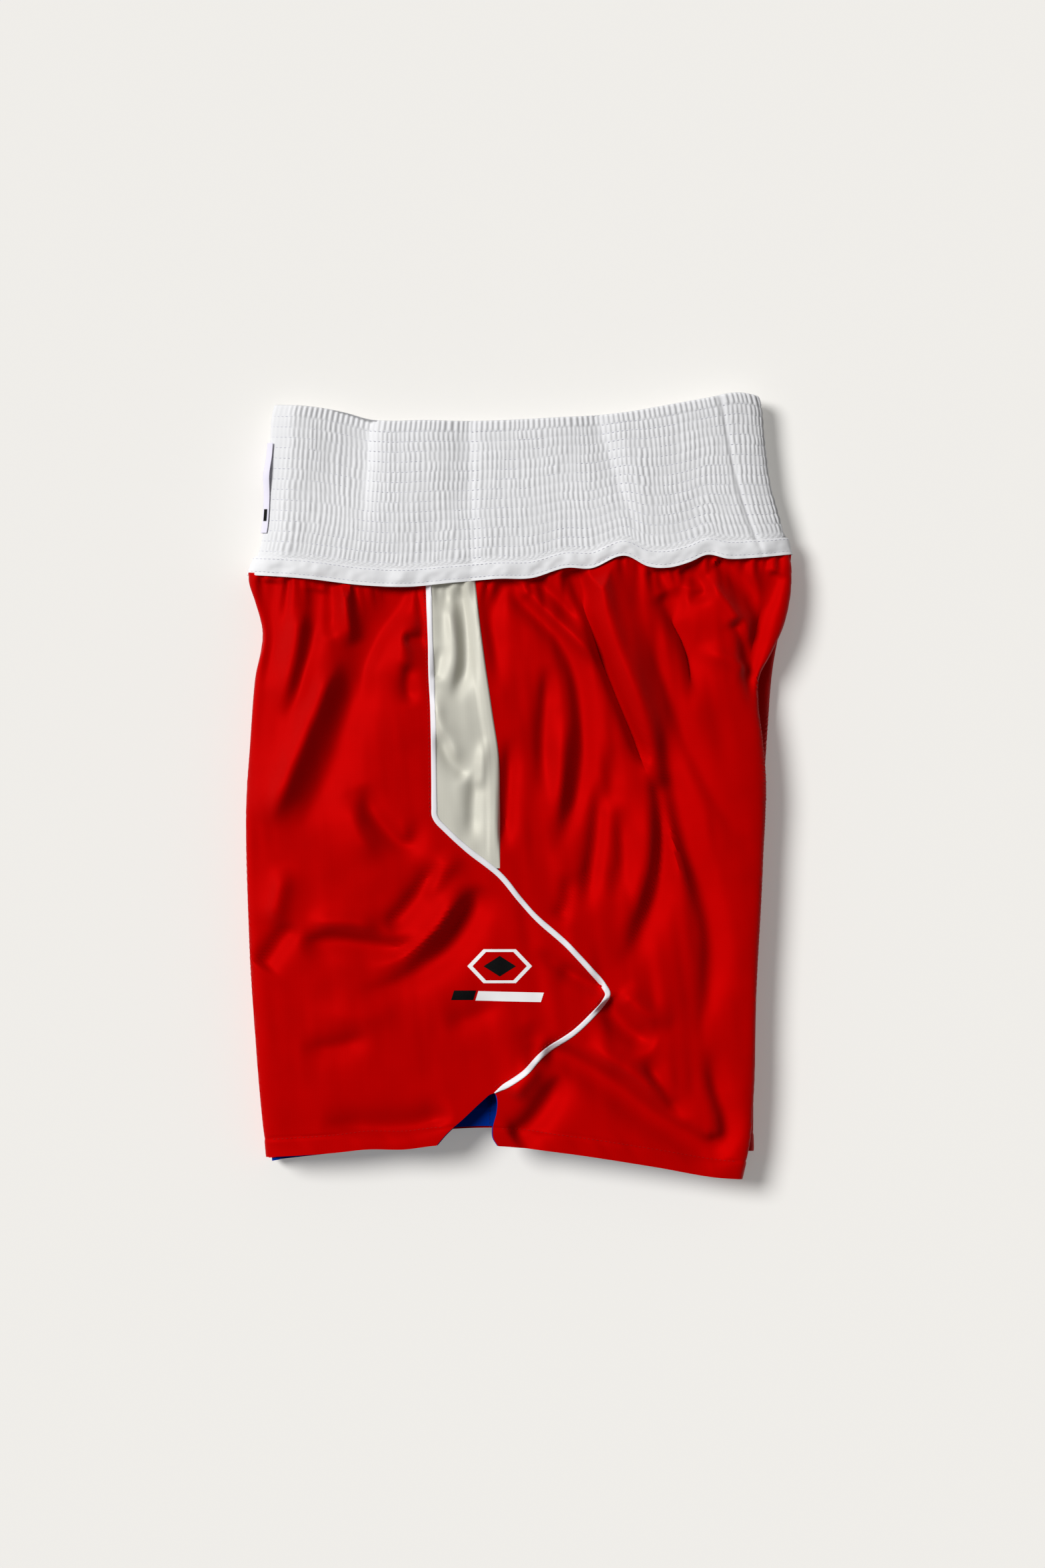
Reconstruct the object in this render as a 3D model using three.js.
// Boxing shorts with a tall shirred waistband, reversible legs and side pockets, lying relaxed on their
// right side: the left leg lies on top of the right one, with both side seams in the middle.
// Millimetres. +X runs from the shorts' front to their back, +Y from the hems up to the waist, and
// +Z up off the surface, which is towards the wearer's left. The origin is under the middle of the box.
import * as THREE from "three";

// Driving sizes.
const WAIST_WIDTH = 331; // flat width of the relaxed waistband at its top edge
const SEAM_WIDTH = 371; // flat width where the waistband meets the legs
const PINCH_WIDTH = 352; // flat width under the waist seam, where the gathers pull in
const THIGH_WIDTH = 353; // flat width of a leg at the thigh
const HEM_WIDTH = 326; // flat width of a leg at its hem
const BAND_HEIGHT = 110; // waistband, from its top edge to the waist seam
const LEG_LENGTH = 384; // outer side of a leg, from the waist seam to the hem
const LEG_THICKNESS = 15.8; // one relaxed leg, from wall to wall
const BAND_THICKNESS = 28; // the whole waistband lying flat, from outside to outside
const SEAM_SLOPE = 0.055; // how far the waist seam rises towards the back, per millimetre
const HIP_LOFT = 1.2; // how much higher the upper leg stands at the hip than at the hem

// Cloths and what lies between them.
const SHELL = 0.8; // red outer cloth
const POCKET_BAG = 0.7; // two plies of pocketing
const LINING = 0.7; // blue inner cloth
const AIR = 0.3; // gap between cloths that are sewn together or lie on each other
const POCKET_AIR = 0.5; // gap on either side of a pocket bag, which hangs loose
const SEAM_GAP = 0.5; // gap between panels, where their seam is
const PIPING_WIDTH = 4.3;
const CASING = 0.9; // one ply of the waistband's casing
const STRIP = 0.9; // the flat strip over the waist seam
const STRIP_HEIGHT = 12;
const LABEL = 0.8;

// Elastic rows in the casing.
const ELASTIC_ROWS = 14;
const ELASTIC_WIDTH = 4;
const ELASTIC_THICKNESS = 1.2;
const HEADER = 9; // free casing above the top row

// The side slit at a leg's hem.
const SLIT_HEIGHT = 35.3;
const SLIT_WIDTH = 38; // how far the front panel's corner stands off from the slit's top
const SLIT_LEAN = 5; // how far the back panel's edge leans forwards down to the hem

// Pocket mouth in the side seam.
const POCKET_DROP = 18; // from the waist seam to the top of the mouth
const POCKET_MOUTH = 130;
const POCKET_BELOW = 74; // how far the bag hangs below the mouth
const POCKET_REACH = 112; // how far the bag reaches forwards of the mouth

// The plane that parts the legs, and how high a leg's folds lie over its inner wall.
const PARTING = LEG_THICKNESS + AIR / 2;
const LINING_DEPTH = SHELL + POCKET_BAG + 2 * POCKET_AIR; // from the shell's face to the lining's
const FOLD_AT_WAIST = LINING_DEPTH + LINING + AIR;
const FOLD_AT_LEG = LEG_THICKNESS / 2;
const SEAM_DEPTH = 0.6; // how far inside the waistband's face the legs' cloths are caught

// How round a section is: 2 is an ellipse, and more is flatter with tighter folds.
const ROUND_TOP = 3;
const ROUND_BOTTOM = 5;
const ROUND_INNER = 5;
const ROUND_BAND = 2.8;
const FLAT_SHARE = 0.93; // past this share of its depth the lowest wall lies flat on the surface

const lerp = THREE.MathUtils.lerp;

// A function through [place, value] points, straight between them.
function through(points) {
  const sorted = [...points].sort((a, b) => a[0] - b[0]);
  return (at) => {
    let k = 1;
    while (k < sorted.length - 1 && at > sorted[k][0]) k++;
    const [a, b] = [sorted[k - 1], sorted[k]];
    const share = THREE.MathUtils.clamp((at - a[0]) / (b[0] - a[0]), 0, 1);
    return lerp(a[1], b[1], share);
  };
}

// Up a leg, share 0 is its hem and share 1 the waist seam. These give its flat width and its middle.
const legWidth = through([
  [0, HEM_WIDTH],
  [0.12, HEM_WIDTH + 11],
  [0.35, THIGH_WIDTH - 6],
  [0.6, THIGH_WIDTH],
  [0.8, THIGH_WIDTH],
  [0.9, PINCH_WIDTH],
  [0.96, SEAM_WIDTH - 5],
  [1, SEAM_WIDTH],
]);
const legMiddle = through([
  [0, -10],
  [0.35, -10.5],
  [0.6, -9.5],
  [0.8, -5],
  [0.9, 0],
  [1, 0],
]);

// Heights along the flat width: the waist seam's line and the hems' lines, from the shorts' middle.
const SEAM_LINE = LEG_LENGTH / 2 - 44;
const HEM_LINE = -LEG_LENGTH / 2 - 52;
const seamHeight = (x) => SEAM_LINE + SEAM_SLOPE * x;
const outerHem = through([
  [-175, HEM_LINE - 9],
  [-60, HEM_LINE - 2],
  [-20, HEM_LINE],
  [145, HEM_LINE - 25],
  [170, HEM_LINE - 22],
]);
const innerHem = through([
  [-175, HEM_LINE - 9],
  [-20, HEM_LINE + 12],
  [145, HEM_LINE - 24],
  [170, HEM_LINE - 22],
]);

// Seams of a leg's walls are outlines of [share up the leg, share of its half width, towards the back].
const outline = (points) => {
  const across = through(points);
  return (share) => legMiddle(share) + (across(share) * legWidth(share)) / 2;
};

// The piping runs down from the waist, forward of the pocket, out to a point over the back panel and
// back to the top of the side slit. It is wider across where it runs aslant.
const SLIT_TOP = SLIT_HEIGHT / LEG_LENGTH;
const TIP = 0.273;
const PIPING_TURN = 0.589;
const SIDE_END = 0.495; // where the side panel narrows to its point
const PIPING_ASLANT = 1.4;
const pipingLine = outline([
  [1, -0.334],
  [0.8, -0.309],
  [PIPING_TURN, -0.266],
  [0.522, -0.15],
  [0.476, -0.02],
  [0.407, 0.114],
  [0.318, 0.338],
  [TIP, 0.409],
  [0.165, 0.155],
  [SLIT_TOP, -0.041],
]);
const pipingSpan = through([
  [0, PIPING_WIDTH * PIPING_ASLANT],
  [0.522, PIPING_WIDTH * PIPING_ASLANT],
  [PIPING_TURN, PIPING_WIDTH],
  [1, PIPING_WIDTH],
]);
const pipingFront = (share) => pipingLine(share) - pipingSpan(share) / 2;
const pipingBack = (share) => pipingLine(share) + pipingSpan(share) / 2;

// The back panel's edge along the side panel, where the pocket's mouth is, and the lining's side seam.
const pocketEdge = outline([
  [1, -0.167],
  [0.9, -0.148],
  [0.76, -0.073],
  [0.67, -0.037],
  [0.47, -0.025],
]);
const liningSide = outline([
  [SLIT_TOP, -0.041],
  [1, -0.135],
]);

// The two edges of the side slit, from the hem up to the end of the piping.
const slitFront = through([
  [0, pipingFront(SLIT_TOP) - SLIT_WIDTH],
  [SLIT_TOP, pipingFront(SLIT_TOP)],
]);
const slitBack = through([
  [0, pipingBack(SLIT_TOP) - SLIT_LEAN],
  [SLIT_TOP, pipingBack(SLIT_TOP)],
]);

// Seams of the inner walls: the inseam, and the rise, which joins the legs from the waist to the fork.
const FORK = 0.63;
const INSEAM = -0.06;
const frontRise = outline([
  [0, INSEAM],
  [FORK, INSEAM],
  [0.66, -0.23],
  [0.72, -0.5],
  [0.8, -0.765],
  [0.9, -0.92],
  [1, -0.935],
]);
const backRise = outline([
  [0, INSEAM],
  [FORK, INSEAM],
  [0.66, 0.25],
  [0.72, 0.58],
  [0.8, 0.84],
  [0.9, 0.93],
  [1, 0.935],
]);

// A cosine or sine drawn out towards a superellipse.
const drawn = (value, roundness) => Math.sign(value) * Math.abs(value) ** (2 / roundness);

// A leg's section turns into the waistband's section just below the waist seam.
const towardsBand = (share) => THREE.MathUtils.smoothstep(share, 0.86, 1);
const foldOver = (share) => lerp(FOLD_AT_LEG, FOLD_AT_WAIST, THREE.MathUtils.smoothstep(share, 0.75, 1));
function roundnessAt(leg, share, inner) {
  if (inner) return ROUND_INNER;
  return lerp(leg === "left" ? ROUND_TOP : ROUND_BOTTOM, ROUND_BAND, towardsBand(share));
}

// A point in a leg's wall. The turn goes round the leg's section: 0 at the back fold, half a turn at
// the front fold, and the inner wall after that. depth is how far the point lies inside the shell's face.
function legPoint(leg, turn, share, depth) {
  const upper = leg === "left";
  const inner = Math.sin(turn) < 0;
  const roundness = roundnessAt(leg, share, inner);
  const x = legMiddle(share) + (legWidth(share) / 2 - depth) * drawn(Math.cos(turn), roundness);
  const loft = upper ? HIP_LOFT * THREE.MathUtils.smoothstep(share, 0.3, 0.8) : 0;
  const fold = foldOver(share);
  const top = lerp(LEG_THICKNESS + loft, BAND_THICKNESS / 2 - SEAM_DEPTH - AIR / 2, towardsBand(share));
  const rise = inner ? fold : top - fold;
  let swell = Math.abs(drawn(Math.sin(turn), roundness));
  if (!inner && !upper) swell = Math.min(swell, FLAT_SHARE) / FLAT_SHARE;
  const aside = (rise - depth) * swell * (inner ? -1 : 1);
  const z = PARTING + (upper ? 1 : -1) * (AIR / 2 + fold + aside);
  const hem = (inner ? innerHem : outerHem)(x);
  return new THREE.Vector3(x, lerp(hem, seamHeight(x), share), z);
}

// The turn at which a leg's wall passes a distance from the middle.
function turnAt(leg, x, share, inner = false) {
  const across = THREE.MathUtils.clamp((x - legMiddle(share)) / (legWidth(share) / 2), -1, 1);
  const turn = Math.acos(Math.sign(across) * Math.abs(across) ** (roundnessAt(leg, share, inner) / 2));
  return inner ? 2 * Math.PI - turn : turn;
}

// A point in the waistband's wall. share 0 is the waist seam and share 1 the top edge.
const bandWidth = through([
  [0, SEAM_WIDTH - 1],
  [0.25, lerp(WAIST_WIDTH, SEAM_WIDTH, 0.66)],
  [1, WAIST_WIDTH],
]);
const bandMiddle = through([
  [0, 0],
  [0.25, 3],
  [1, -3],
]);
const bandSag = through([
  [-175, 4],
  [-60, 0],
  [20, -4],
  [160, 0],
]);
function bandPoint(turn, share, depth) {
  const x = bandMiddle(share) + (bandWidth(share) / 2 - depth) * drawn(Math.cos(turn), ROUND_BAND);
  const z = PARTING + (BAND_THICKNESS / 2 - depth) * drawn(Math.sin(turn), ROUND_BAND);
  const y = seamHeight(x) + AIR + share * (BAND_HEIGHT + bandSag(x));
  return new THREE.Vector3(x, y, z);
}

// A sheet of cloth as one closed solid, from the grids of points of its two faces. A ring closes round.
function sheet(face, back, ring = false) {
  const rows = face.length;
  const columns = face[0].length;
  const points = [...face.flat(), ...back.flat()];
  const at = (side, i, j) => side * rows * columns + i * columns + (j % columns);
  const triangles = [];
  const quad = (a, b, c, d) => triangles.push(a, b, c, a, c, d);
  const lastColumn = ring ? columns : columns - 1;
  for (let i = 0; i < rows - 1; i++) {
    for (let j = 0; j < lastColumn; j++) {
      quad(at(0, i, j), at(0, i, j + 1), at(0, i + 1, j + 1), at(0, i + 1, j));
      quad(at(1, i, j), at(1, i + 1, j), at(1, i + 1, j + 1), at(1, i, j + 1));
    }
  }
  for (let j = 0; j < lastColumn; j++) {
    quad(at(0, 0, j), at(1, 0, j), at(1, 0, j + 1), at(0, 0, j + 1));
    quad(at(0, rows - 1, j), at(0, rows - 1, j + 1), at(1, rows - 1, j + 1), at(1, rows - 1, j));
  }
  for (let i = 0; !ring && i < rows - 1; i++) {
    quad(at(0, i, 0), at(0, i + 1, 0), at(1, i + 1, 0), at(1, i, 0));
    quad(at(0, i, columns - 1), at(1, i, columns - 1), at(1, i + 1, columns - 1), at(0, i + 1, columns - 1));
  }
  let volume = 0;
  for (let k = 0; k < triangles.length; k += 3) {
    const [a, b, c] = triangles.slice(k, k + 3).map((index) => points[index]);
    volume += a.dot(new THREE.Vector3().crossVectors(b, c));
  }
  if (volume < 0) triangles.reverse();
  const geometry = new THREE.BufferGeometry().setFromPoints(points);
  geometry.setIndex(triangles);
  geometry.computeVertexNormals();
  return geometry;
}

// Materials of the real cloths.
const cloth = (color, roughness) => new THREE.MeshStandardMaterial({ color, roughness, metalness: 0 });
const RED_SATIN = cloth(0xc00404, 0.45);
const BLUE_SATIN = cloth(0x0a3c96, 0.45);
const GREY_SATIN = cloth(0xccd0c6, 0.45);
const WHITE_PIPING = cloth(0xe8e8ec, 0.6);
const WHITE_CASING = cloth(0xf0f0f0, 0.8);
const POCKETING = cloth(0xe4e4e0, 0.9);
const ELASTIC = cloth(0xf4f2ea, 0.7);
const WOVEN_LABEL = cloth(0xe6e4ee, 0.7);

const shorts = new THREE.Group();
function add(name, geometry, material) {
  const mesh = new THREE.Mesh(geometry, material);
  mesh.name = name;
  shorts.add(mesh);
}

// Every cloth that goes round a fold has these turns there, so that the cloths nest.
const degrees = THREE.MathUtils.degToRad;
const BACK_FOLD = [-16, -8, 0, 10, 21, 42, 64].map(degrees);
const FRONT_FOLD = [116, 138, 159, 170, 180, 188, 196].map(degrees);

// A part of a leg's wall, between two turns that may change up the leg. Columns are shared out before
// and after the fold that it goes round, if it goes round one.
function legSheet(leg, shares, from, to, depth, thickness, before, fold = [], after = 0) {
  const spread = (start, end, count) => Array.from({ length: count }, (_, j) => lerp(start, end, j / count));
  const turnsAt = (share) => {
    const [start, end] = [from(share), to(share)];
    if (!fold.length) return [...spread(start, end, before), end];
    return [...spread(start, fold[0], before), ...fold, ...spread(end, fold.at(-1), after).toReversed()];
  };
  const grid = (d) => shares.map((share) => turnsAt(share).map((turn) => legPoint(leg, turn, share, d)));
  return sheet(grid(depth), grid(depth + thickness));
}

const SHARES = [
  0, SLIT_TOP / 2, SLIT_TOP, 0.165, TIP, 0.318, 0.407, 0.476, 0.522, PIPING_TURN, FORK, 0.66, 0.72, 0.8, 0.9, 0.96, 1,
];

function buildLeg(leg) {
  const outer = (edge, aside) => (share) => turnAt(leg, edge(share) + aside * SEAM_GAP, share);
  const inner = (edge, aside) => (share) => turnAt(leg, edge(share) + aside * SEAM_GAP, share, true);

  // Shell panels run from the side seam round their fold to the inseam and the rise.
  const frontEdge = (share) => (share < SLIT_TOP ? slitFront(share) : pipingFront(share));
  const backEdge = (share) =>
    share < SLIT_TOP ? slitBack(share) : Math.max(pipingBack(share), pocketEdge(share));
  const [frontFrom, frontTo] = [outer(frontEdge, -0.5), inner(frontRise, -0.5)];
  const front = legSheet(leg, SHARES, frontFrom, frontTo, 0, SHELL, 1, FRONT_FOLD, 2);
  add(leg + "_front_panel", front, RED_SATIN);
  const backFrom = (share) => inner(backRise, 0.5)(share) - 2 * Math.PI;
  const back = legSheet(leg, SHARES, backFrom, outer(backEdge, 0.5), 0, SHELL, 2, BACK_FOLD, 1);
  add(leg + "_back_panel", back, RED_SATIN);

  // The side panel fills the seam between the piping and the pocket's mouth.
  const sideShares = [SIDE_END, ...SHARES.filter((share) => share > SIDE_END)];
  const side = legSheet(leg, sideShares, outer(pocketEdge, -0.5), outer(pipingBack, 0.5), 0, SHELL, 2);
  add(leg + "_side_panel", side, GREY_SATIN);
  const pipedShares = SHARES.filter((share) => share >= SLIT_TOP);
  const piping = legSheet(leg, pipedShares, outer(pipingBack, 0), outer(pipingFront, 0), 0, SHELL, 2);
  add(leg + "_piping", piping, WHITE_PIPING);

  // The pocket bag hangs between shell and lining, forward of its mouth.
  const mouthTop = 1 - POCKET_DROP / LEG_LENGTH;
  const mouthEnd = mouthTop - POCKET_MOUTH / LEG_LENGTH;
  const bagEnd = mouthEnd - POCKET_BELOW / LEG_LENGTH;
  const bagShares = [bagEnd, ...SHARES.filter((share) => share > bagEnd && share < mouthTop), mouthTop];
  const bagBack = (share) => pocketEdge(share) - (share < mouthEnd ? 6 : 1);
  const bagFront = through([
    [bagEnd, pocketEdge(bagEnd) - POCKET_REACH * 0.7],
    [mouthEnd, pocketEdge(mouthEnd) - POCKET_REACH],
    [mouthTop, pocketEdge(mouthTop) - POCKET_REACH * 0.8],
  ]);
  const [bagFrom, bagTo] = [outer(bagBack, 0), outer(bagFront, 0)];
  const bag = legSheet(leg, bagShares, bagFrom, bagTo, SHELL + POCKET_AIR, POCKET_BAG, 5);
  add(leg + "_pocket_bag", bag, POCKETING);

  // The lining repeats the shell in two panels, with a plain side seam that opens at the slit.
  const liningFrontEdge = (share) => (share < SLIT_TOP ? slitFront(share) : liningSide(share));
  const liningBackEdge = (share) => (share < SLIT_TOP ? slitBack(share) : liningSide(share));
  const liningFrom = outer(liningFrontEdge, -0.5);
  const liningFront = legSheet(leg, SHARES, liningFrom, frontTo, LINING_DEPTH, LINING, 1, FRONT_FOLD, 2);
  add(leg + "_lining_front", liningFront, BLUE_SATIN);
  const liningTo = outer(liningBackEdge, 0.5);
  const liningBack = legSheet(leg, SHARES, backFrom, liningTo, LINING_DEPTH, LINING, 2, BACK_FOLD, 1);
  add(leg + "_lining_back", liningBack, BLUE_SATIN);
}
buildLeg("left");
buildLeg("right");

// A ring round the waistband through [share, depth] corners of its section, outer face first.
const BAND_COLUMNS = 24;
const columnTurn = (column) => (column / BAND_COLUMNS) * 2 * Math.PI;
function bandRing(outerCorners, innerCorners) {
  const grid = (corners) =>
    corners.map(([share, depth]) =>
      Array.from({ length: BAND_COLUMNS }, (_, j) => bandPoint(columnTurn(j), share, depth)),
    );
  return sheet(grid(outerCorners), grid(innerCorners), true);
}

// The casing is one cloth, folded over at the top, with the elastic rows between its plies.
const CHANNEL = ELASTIC_THICKNESS + 2 * AIR;
const BAND_WALL = 2 * CASING + CHANNEL;
const foldShare = 1 - CASING / BAND_HEIGHT;
const casingShares = [0, 0.25, 0.6];
const casingFace = [
  ...casingShares.map((share) => [share, 0]),
  [1, 0],
  [1, BAND_WALL],
  ...casingShares.toReversed().map((share) => [share, BAND_WALL]),
];
const casingLiner = [
  ...casingShares.map((share) => [share, CASING]),
  [foldShare, CASING],
  [foldShare, BAND_WALL - CASING],
  ...casingShares.toReversed().map((share) => [share, BAND_WALL - CASING]),
];
add("waistband_casing", bandRing(casingFace, casingLiner), WHITE_CASING);

const lowestRow = STRIP_HEIGHT + ELASTIC_WIDTH / 2 + 1;
const highestRow = BAND_HEIGHT - HEADER - ELASTIC_WIDTH / 2;
for (let row = 0; row < ELASTIC_ROWS; row++) {
  const middle = lerp(lowestRow, highestRow, row / (ELASTIC_ROWS - 1));
  const shares = [middle - ELASTIC_WIDTH / 2, middle + ELASTIC_WIDTH / 2].map((y) => y / BAND_HEIGHT);
  const outside = shares.map((share) => [share, CASING + AIR]);
  const inside = shares.map((share) => [share, CASING + AIR + ELASTIC_THICKNESS]);
  add("elastic_row_" + String(row + 1).padStart(2, "0"), bandRing(outside, inside), ELASTIC);
}

const stripShares = [0, STRIP_HEIGHT / BAND_HEIGHT];
const stripFace = stripShares.map((share) => [share, -AIR - STRIP]);
const stripBack = stripShares.map((share) => [share, -AIR]);
add("waist_seam_strip", bandRing(stripFace, stripBack), WHITE_PIPING);

// Labels lie on the casing's columns: a woven one wrapped round the front fold, and a size label inside
// the back fold.
function bandPatch(shares, firstColumn, columns, depth, thickness) {
  const grid = (d) =>
    shares.map((share) =>
      Array.from({ length: columns + 1 }, (_, j) => bandPoint(columnTurn(firstColumn + j), share, d)),
    );
  return sheet(grid(depth), grid(depth + thickness));
}
const frontLabel = bandPatch([0.25, 0.6, 0.78], BAND_COLUMNS / 2 - 1, 4, -AIR - LABEL, LABEL);
add("front_label", frontLabel, WOVEN_LABEL);
const sizeLabel = bandPatch([0.3, 0.6, 0.68], -2, 4, BAND_WALL + AIR, LABEL);
add("size_label", sizeLabel, WOVEN_LABEL);

// The origin goes under the middle of the box, on the surface the shorts lie on.
const box = new THREE.Box3().setFromObject(shorts, true);
shorts.position.set(-(box.min.x + box.max.x) / 2, -(box.min.y + box.max.y) / 2, -box.min.z);

export default shorts;
